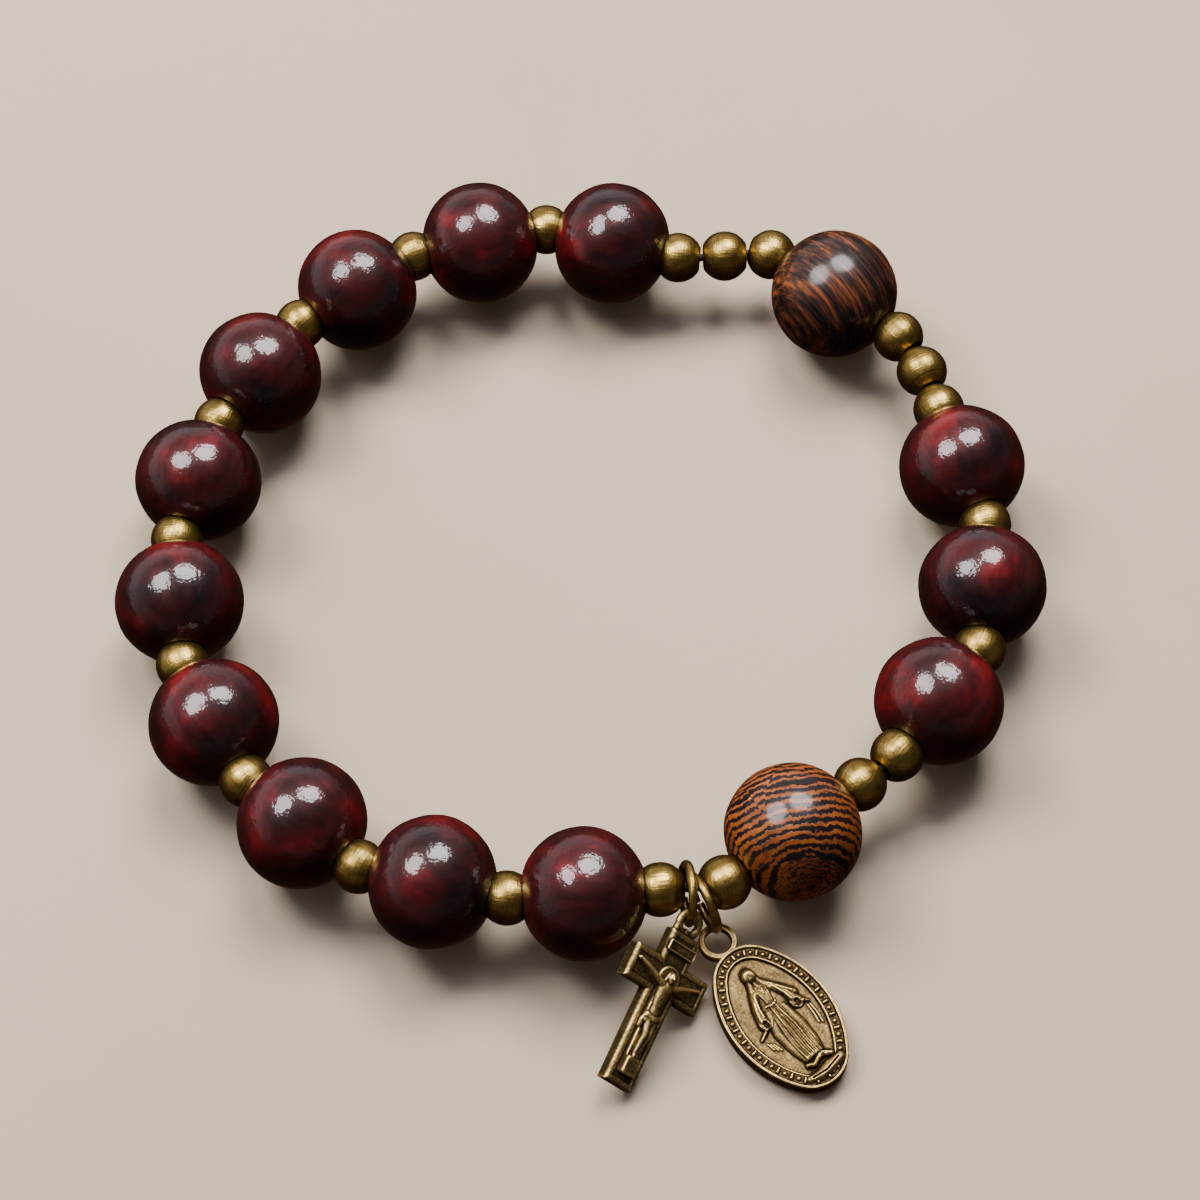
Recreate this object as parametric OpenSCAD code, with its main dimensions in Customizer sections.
// Rosary bracelet: one decade and three more red beads, two striped beads and small brass
// beads on an elastic thread, with a crucifix and an oval medal on two jump rings.
// It lies on a flat surface at z = 0. The origin is the middle of the wrist opening.

/* [Wood beads] */
// Diameter of a red bead
red_d = 10; // [9.8:0.1:10.2]
// Radius of the arc that a red bead is turned to, less than half its diameter where it is flattened
red_arc_r = 4.7; // [4.6:0.05:4.9]
// Distance between the middles of two small beads with a red bead between them
red_pitch = 11.34; // [11.2:0.02:11.6]
// Diameter of a striped bead
striped_d = 10.4; // [10.2:0.1:10.6]
// Radius of the arc that a striped bead is turned to
striped_arc_r = 5.1; // [5:0.05:5.2]
// Distance between the middles of two small beads with a striped bead between them
striped_pitch = 13.1; // [12.9:0.05:13.3]
// Bore through a red or striped bead
wood_bore_d = 1.8; // [1.6:0.1:2.2]
// Gap between a small bead and the seat that it lies in
seat_gap = 0.1; // [0.05:0.01:0.2]

/* [Small brass beads] */
// Diameter of a small bead
small_d = 4.1; // [4:0.05:4.2]
// Length of a small bead along the thread
small_len = 3.6; // [3.4:0.05:3.7]
// Bore through a small bead
small_bore_d = 1.7; // [1.6:0.05:1.8]
// Width of the bevel at each mouth of the bore
small_bevel = 0.15; // [0.05:0.05:0.2]
// Distance between the middles of two small beads that touch
touching_pitch = 3.85; // [3.8:0.01:4]

/* [Thread] */
// Diameter of the elastic thread
thread_d = 0.6; // [0.4:0.1:0.7]
// Distance between the middles of the two small beads that the jump rings hang between
ring_gap = 4.8; // [4.7:0.05:5.2]

/* [Jump rings] */
// Thickness of the wire
wire_d = 0.68; // [0.6:0.02:0.7]
// Diameter of the ring at the middle of its wire
ring_d = 4.32; // [4.3:0.02:4.4]
// Width of the cut where the ends of the wire meet
cut_w = 0.08; // [0.04:0.02:0.2]
// Angle by which each half of a ring is sprung sideways, so that its ends stand apart
ring_spring = 1.2; // [0:0.2:1.6]

/* [Crucifix] */
// Width of the upright and height of the arms
bar_w = 2.7; // [2.5:0.05:2.8]
// Thickness of the cross
bar_t = 1.2; // [1:0.05:1.3]
// Radius of its front edges
bar_round = 0.35; // [0.2:0.05:0.45]
// Length from one arm's end to the other
arm_span = 7.2; // [7:0.1:7.4]
// Height of the upright above the middle of the arms
upright_up = 3.6; // [3.4:0.05:3.7]
// Length of the upright below the middle of the arms
upright_down = 8.6; // [8:0.1:9]
// Radius of the eyelet at the middle of its wire
eyelet_r = 0.88; // [0.85:0.01:0.9]
// Thickness of the eyelet's wire
eyelet_wire_d = 0.64; // [0.6:0.02:0.66]

/* [Medal] */
// Length of the oval plate
medal_len = 12.5; // [12.3:0.1:12.6]
// Width of the oval plate
medal_w = 8.1; // [7.8:0.1:8.4]
// Thickness of the plate with its rim
medal_t = 1.3; // [1.2:0.05:1.35]
// Width of the raised rim line
rim_w = 0.2; // [0.15:0.05:0.3]
// Depth of the band inside the rim line
band_depth = 0.14; // [0.1:0.02:0.2]
// Distance from the plate's edge to the edge of its sunken field
field_inset = 1.05; // [0.9:0.05:1.2]
// Depth of the sunken field
field_depth = 0.35; // [0.25:0.05:0.5]
// Outer radius of the medal's loop
medal_loop_r = 1.4; // [1.38:0.01:1.42]
// Radius of the hole in the medal's loop
medal_hole_r = 0.98; // [0.97:0.01:1]
// Thickness of the medal's loop
medal_loop_t = 0.84; // [0.7:0.02:0.86]

/* [Hidden] */
$fn = 64;
// A shape that is blended out of rounds needs no more sides than this
blend_fn = 20;
thread_z = red_d / 2;

// Points that the thread passes on its way round, laid out by eye, [x, y]. The first is
// just right of the jump rings, and the rest follow counter-clockwise.
ROUTE = [
    [10.5, -29], [16.5, -25.5], [21, -21], [27, -15.5], [32, -6.5], [32, 3], [30, 10],
    [27.5, 18], [25, 21.5], [20.5, 25.5], [16.5, 28.5], [7.5, 28.5], [-3, 31.5], [-13.5, 29],
    [-23, 22], [-28.5, 14], [-32, 1], [-31, -9.5], [-25.5, -20], [-15.5, -28], [-6.5, -30],
    [6, -29.5],
];

// What lies between each small bead and the next one, from the right of the jump rings on
DECADE = [for (i = [1 : 10]) "red"];
LINKS = concat(
    ["striped", "touching", "red", "red", "red", "touching", "touching", "striped",
     "touching", "touching"],
    DECADE
);
small_count = len(LINKS) + 1;
red_links = [for (i = [0 : len(LINKS) - 1]) if (LINKS[i] == "red") i];
striped_links = [for (i = [0 : len(LINKS) - 1]) if (LINKS[i] == "striped") i];

function pitch(link) =
    link == "red" ? red_pitch : link == "striped" ? striped_pitch : touching_pitch;

// A smooth closed curve through the points of the route: u counts the points passed
function route(u) =
    let (
        n = len(ROUTE), i = floor(u), t = u - i,
        a = ROUTE[(i + n - 1) % n], b = ROUTE[i % n],
        c = ROUTE[(i + 1) % n], d = ROUTE[(i + 2) % n]
    )
    (2 * b + (c - a) * t + (2 * a - 5 * b + 4 * c - d) * t * t
        + (3 * b - a - 3 * c + d) * t * t * t) / 2;

// Where the route has come dist away from its place at u, found between lo and hi by halving
function step_to(u, dist, lo, hi, rounds = 18) =
    let (mid = (lo + hi) / 2)
    rounds == 0 ? mid
    : norm(route(mid) - route(u)) < dist ? step_to(u, dist, mid, hi, rounds - 1)
    : step_to(u, dist, lo, mid, rounds - 1);

// The place of each small bead on the route, when the route is made larger by size
longest_step = 3;
function walk(size) = [
    for (
        i = 0, u = 0;
        i <= len(LINKS);
        u = i < len(LINKS) ? step_to(u, pitch(LINKS[i]) / size, u, u + longest_step) : u,
        i = i + 1
    ) u
];

// The gap that a walk leaves at its end, where the jump rings hang
function gap_left(size) =
    let (u = walk(size)[len(LINKS)])
    u < len(ROUTE) ? size * norm(route(u) - route(0)) : 0;

// The size of the route at which that gap is ring_gap
function fitted_size(lo, hi, rounds = 16) =
    let (mid = (lo + hi) / 2)
    rounds == 0 ? mid
    : gap_left(mid) < ring_gap ? fitted_size(mid, hi, rounds - 1)
    : fitted_size(lo, mid, rounds - 1);

loop_size = fitted_size(0.9, 1.1);
small_at = [for (u = walk(loop_size)) loop_size * route(u)];

function unit(v) = v / norm(v);
function turned(i) = (i + small_count) % small_count;
// Direction of the thread before and after small bead i, and through it
function way_in(i) = unit(small_at[i] - small_at[turned(i - 1)]);
function way_out(i) = unit(small_at[turned(i + 1)] - small_at[i]);
function heading(v) = atan2(v.y, v.x);

// The jump rings hang on the thread halfway between the last small bead and the first
hang_at = (small_at[0] + small_at[small_count - 1]) / 2;

// A ball of diameter d turned to an arc, then bored, with a round seat for the small bead at
// each mouth. It rests on the surface, and its bore is at the height of the thread.
module wood_bead(link, d, arc_r) {
    from = small_at[link];
    to = small_at[link + 1];
    middle = (from + to) / 2;
    translate([middle.x, middle.y, d / 2])
        rotate([0, 0, heading(to - from)])
        difference() {
            rotate([0, 90, 0])
                rotate_extrude()
                intersection() {
                    translate([d / 2 - arc_r, 0]) circle(r = arc_r);
                    translate([0, -d]) square([d, 2 * d]);
                }
            translate([0, 0, thread_z - d / 2]) {
                rotate([0, 90, 0]) cylinder(d = wood_bore_d, h = 2 * d, center = true);
                for (side = [-1, 1])
                    translate([side * norm(to - from) / 2, 0, 0])
                        sphere(r = small_d / 2 + seat_gap);
            }
        }
}

module red_bead(i) {
    color("#4a1210") wood_bead(red_links[i], red_d, red_arc_r);
}

module striped_bead(i) {
    color("#8a5226") wood_bead(striped_links[i], striped_d, striped_arc_r);
}

// Half the outline of a small bead: a round barrel with flat ends and bevelled mouths
module small_bead_outline() {
    bore_r = small_bore_d / 2;
    intersection() {
        circle(d = small_d);
        polygon([
            [bore_r + small_bevel, -small_len / 2], [small_d, -small_len / 2],
            [small_d, small_len / 2], [bore_r + small_bevel, small_len / 2],
            [bore_r, small_len / 2 - small_bevel], [bore_r, small_bevel - small_len / 2],
        ]);
    }
}

module small_bead(i) {
    color("#8c7a3c")
        translate([small_at[i].x, small_at[i].y, thread_z])
        rotate([0, 90, heading(way_in(i) + way_out(i))])
        rotate_extrude() small_bead_outline();
}

// The thread bends inside each small bead, where it is drawn a little to the outer side, so
// that it clears both mouths of the bore. It is one closed tube: thread_sides points to a
// ring, and two rings to each small bead.
thread_sides = 8;
bend_half = 0.7;
outer_share = 0.6;
module thread() {
    stops = [
        for (i = [0 : small_count - 1], side = [-1, 1])
            small_at[i] + side * bend_half * (side < 0 ? way_in(i) : way_out(i))
                + outer_share * (way_in(i) - way_out(i))
    ];
    n = len(stops);
    points = [
        for (j = [0 : n - 1])
            let (
                before = stops[j] - stops[(j + n - 1) % n],
                after = stops[(j + 1) % n] - stops[j],
                across = heading(unit(before) + unit(after)) + 90
            )
            for (k = [0 : thread_sides - 1])
                let (a = 360 * k / thread_sides, r = thread_d / 2)
                [
                    stops[j].x + r * cos(a) * cos(across),
                    stops[j].y + r * cos(a) * sin(across),
                    thread_z + r * sin(a),
                ]
    ];
    faces = [
        for (j = [0 : n - 1], k = [0 : thread_sides - 1], half = [0, 1])
            let (
                here = j * thread_sides, next = ((j + 1) % n) * thread_sides,
                k2 = (k + 1) % thread_sides
            )
            half == 0 ? [here + k, here + k2, next + k2] : [here + k, next + k2, next + k]
    ];
    color("#3a2a22") polyhedron(points = points, faces = faces, convexity = 10);
}

// A cut ring of wire in the XY plane, with its cut on the -X side. Each half is turned a
// little about the uncut side, so that the two ends stand side by side.
module jump_ring() {
    half_turn = 180 - asin(cut_w / ring_d);
    for (side = [0, 1])
        mirror([0, side, 0])
            translate([ring_d / 2, 0, 0])
            rotate([0, side == 0 ? ring_spring : -ring_spring, 0])
            translate([-ring_d / 2, 0, 0])
            rotate_extrude(angle = half_turn)
            translate([ring_d / 2, 0]) circle(d = wire_d, $fn = 32);
}

// Each ring: how far its middle is from hang_at, its height, the turn and the lean of its
// axis, and how far round the cut is, [x, y, z, turn, lean, cut]
CRUCIFIX_RING = [-0.37, -0.58, 4.92, 4.9, -8, 200];
MEDAL_RING = [0.83, -1.11, 4.48, 25.4, 1.4, 205];

module hung_ring(place) {
    color("#8c7a3c")
        translate([hang_at.x + place[0], hang_at.y + place[1], place[2]])
        rotate([0, 90 - place[4], place[3]])
        rotate([0, 0, place[5]])
        jump_ring();
}

module crucifix_ring() hung_ring(CRUCIFIX_RING);
module medal_ring() hung_ring(MEDAL_RING);

// Section of a bar: width along X and thickness down from y = 0, with rounded front edges
module bar_section(w) {
    translate([-w / 2, -bar_t]) square([w, bar_t - bar_round]);
    translate([bar_round - w / 2, -bar_t]) square([w - 2 * bar_round, bar_t]);
    for (side = [-1, 1])
        translate([side * (w / 2 - bar_round), -bar_round]) circle(r = bar_round, $fn = 32);
}

// A bar with its front on z = 0, whose front edges and front end edges are all rounded
module bar(w, length) {
    intersection() {
        rotate([90, 0, 0]) linear_extrude(length, center = true) bar_section(w);
        rotate([90, 0, 90]) linear_extrude(w, center = true) bar_section(length);
    }
}

// A round limb from one point to another, blended out of two balls, [x, y, z, radius]
module limb(from, to) {
    hull() for (end = [from, to])
        translate([end[0], end[1], end[2]]) sphere(r = end[3], $fn = blend_fn);
}

// The figure on the cross, without features: each row is a limb, [from, to]
CORPUS = [
    // arms, from the hand to the shoulder
    [[-2.9, 0.35, 0.1, 0.26], [-0.5, -0.5, 0.3, 0.36]],
    [[2.9, 0.35, 0.1, 0.26], [0.5, -0.5, 0.3, 0.36]],
    // trunk, from the chest to the hips
    [[0, -1, 0.2, 0.66], [-0.05, -2.9, 0.2, 0.5]],
    // cloth about the hips
    [[-0.35, -3.2, 0.15, 0.55], [0.35, -3.2, 0.15, 0.55]],
    // legs, from the hips to the feet
    [[0, -3.4, 0.25, 0.52], [0.08, -6.1, 0.15, 0.34]],
];

module corpus() {
    for (row = CORPUS) limb(row[0], row[1]);
    // head, and the round plate behind it
    translate([0.05, 0.1, 0.55]) sphere(r = 0.52, $fn = 32);
    translate([0, 0.15, -0.1]) cylinder(r = 0.98, h = 0.3);
    // block under the feet
    translate([-0.6, -7.6, -0.1]) cube([1.2, 1.4, 0.7]);
}

// Turn, rise and roll of the cross: its upright points to the thread and its left arm is up
cross_turn = -26.4;
cross_rise = 11.5;
cross_roll = 42.6;
// The middle of the arms, from hang_at
cross_at = [-1.94, -6.83];
// Height at which an arm's lower end or the foot of the upright rests on the surface
function cross_point_z(x, y, z) =
    z * cos(cross_roll) * cos(cross_rise) - x * sin(cross_roll) * cos(cross_rise)
        + y * sin(cross_rise);
cross_z = -min(
    cross_point_z(arm_span / 2, -bar_w / 2, -bar_t),
    cross_point_z(bar_w / 2, -upright_down, -bar_t)
);
plaque_y = 2.35;

module crucifix() {
    upright = upright_up + upright_down;
    color("#8c7a3c")
        translate([hang_at.x + cross_at.x, hang_at.y + cross_at.y, cross_z])
        rotate([cross_rise, 0, cross_turn])
        rotate([0, cross_roll, 0]) {
            translate([0, (upright_up - upright_down) / 2, 0]) bar(bar_w, upright);
            rotate([0, 0, 90]) bar(bar_w, arm_span);
            // plaque over the head
            translate([-1.25, plaque_y - 0.35, -0.1]) cube([2.5, 0.7, 0.35]);
            // eyelet, whose wire starts inside the upright's end
            translate([0, upright_up + eyelet_r + 0.02, -bar_t / 2])
                rotate_extrude()
                translate([eyelet_r, 0]) circle(d = eyelet_wire_d, $fn = 32);
            corpus();
        }
}

// Radius of the ends of the medal's oval, whose sides are arcs that meet the ends smoothly
oval_end_r = 2.9;
// The oval drawn in by inset all round
module oval(inset) {
    a = medal_len / 2;
    b = medal_w / 2;
    end_r = oval_end_r;
    side_r = ((a - end_r) * (a - end_r) + b * b - end_r * end_r) / (2 * (b - end_r));
    join_y = (a - end_r) * side_r / (side_r - end_r);
    intersection() {
        lens(side_r - b, side_r - inset);
        square([2 * b, 2 * join_y], center = true);
    }
    for (side = [-1, 1])
        translate([0, side * (a - end_r)]) circle(r = end_r - inset);
}

// What two circles share, with their centres off to the left and right
module lens(off, r) {
    intersection() {
        translate([-off, 0]) circle(r = r);
        translate([off, 0]) circle(r = r);
    }
}

// The figure on the medal in low relief: each row is a part, [from, to]
MEDAL_FIGURE = [
    // veil over the shoulders
    [[-0.55, 2.5, 0, 0.6], [0.6, 2.4, 0, 0.6]],
    // robe, from the waist to the hem
    [[0, 1.8, 0, 0.75], [0.15, -3, 0, 1.15]],
    // sleeves, from the elbow to the cuff
    [[-1.05, 1.3, 0, 0.4], [-1.3, 0, 0, 0.55]],
    [[1.2, 1.3, 0, 0.4], [1.6, 0.2, 0, 0.55]],
    // mound that it stands on
    [[-1, -5, 0, 0.6], [1.2, -4.95, 0, 0.7]],
];
relief_flatness = 0.55;

module medal_figure() {
    translate([0, 0, -field_depth]) {
        for (row = MEDAL_FIGURE) scale([1, 1, relief_flatness]) limb(row[0], row[1]);
        // head
        translate([0, 3.7, 0.1]) sphere(r = 0.62, $fn = 32);
    }
}

// Turn and rise of the medal: its loop is lifted by its ring and its far end rests
medal_turn = 36.7;
medal_rise = 3.65;
// The middle of the plate, from hang_at
medal_at = [6.32, -9.01];
medal_z = medal_len / 2 * sin(medal_rise) + medal_t * cos(medal_rise);
medal_loop_y = 7.42;

module medal() {
    color("#8c7a3c")
        translate([hang_at.x + medal_at.x, hang_at.y + medal_at.y, medal_z])
        rotate([medal_rise, 0, medal_turn]) {
            difference() {
                union() {
                    translate([0, 0, -medal_t]) linear_extrude(medal_t) oval(0);
                    translate([0, medal_loop_y, -(medal_t + medal_loop_t) / 2])
                        cylinder(r = medal_loop_r, h = medal_loop_t);
                }
                translate([0, 0, -band_depth]) linear_extrude(medal_t) oval(rim_w);
                translate([0, 0, -field_depth]) linear_extrude(medal_t) oval(field_inset);
                translate([0, medal_loop_y, -2 * medal_t])
                    cylinder(r = medal_hole_r, h = 3 * medal_t);
            }
            medal_figure();
        }
}

for (i = [0 : len(red_links) - 1])
    red_bead(i);
for (i = [0 : len(striped_links) - 1])
    striped_bead(i);
for (i = [0 : small_count - 1])
    small_bead(i);
thread();
crucifix_ring();
medal_ring();
crucifix();
medal();
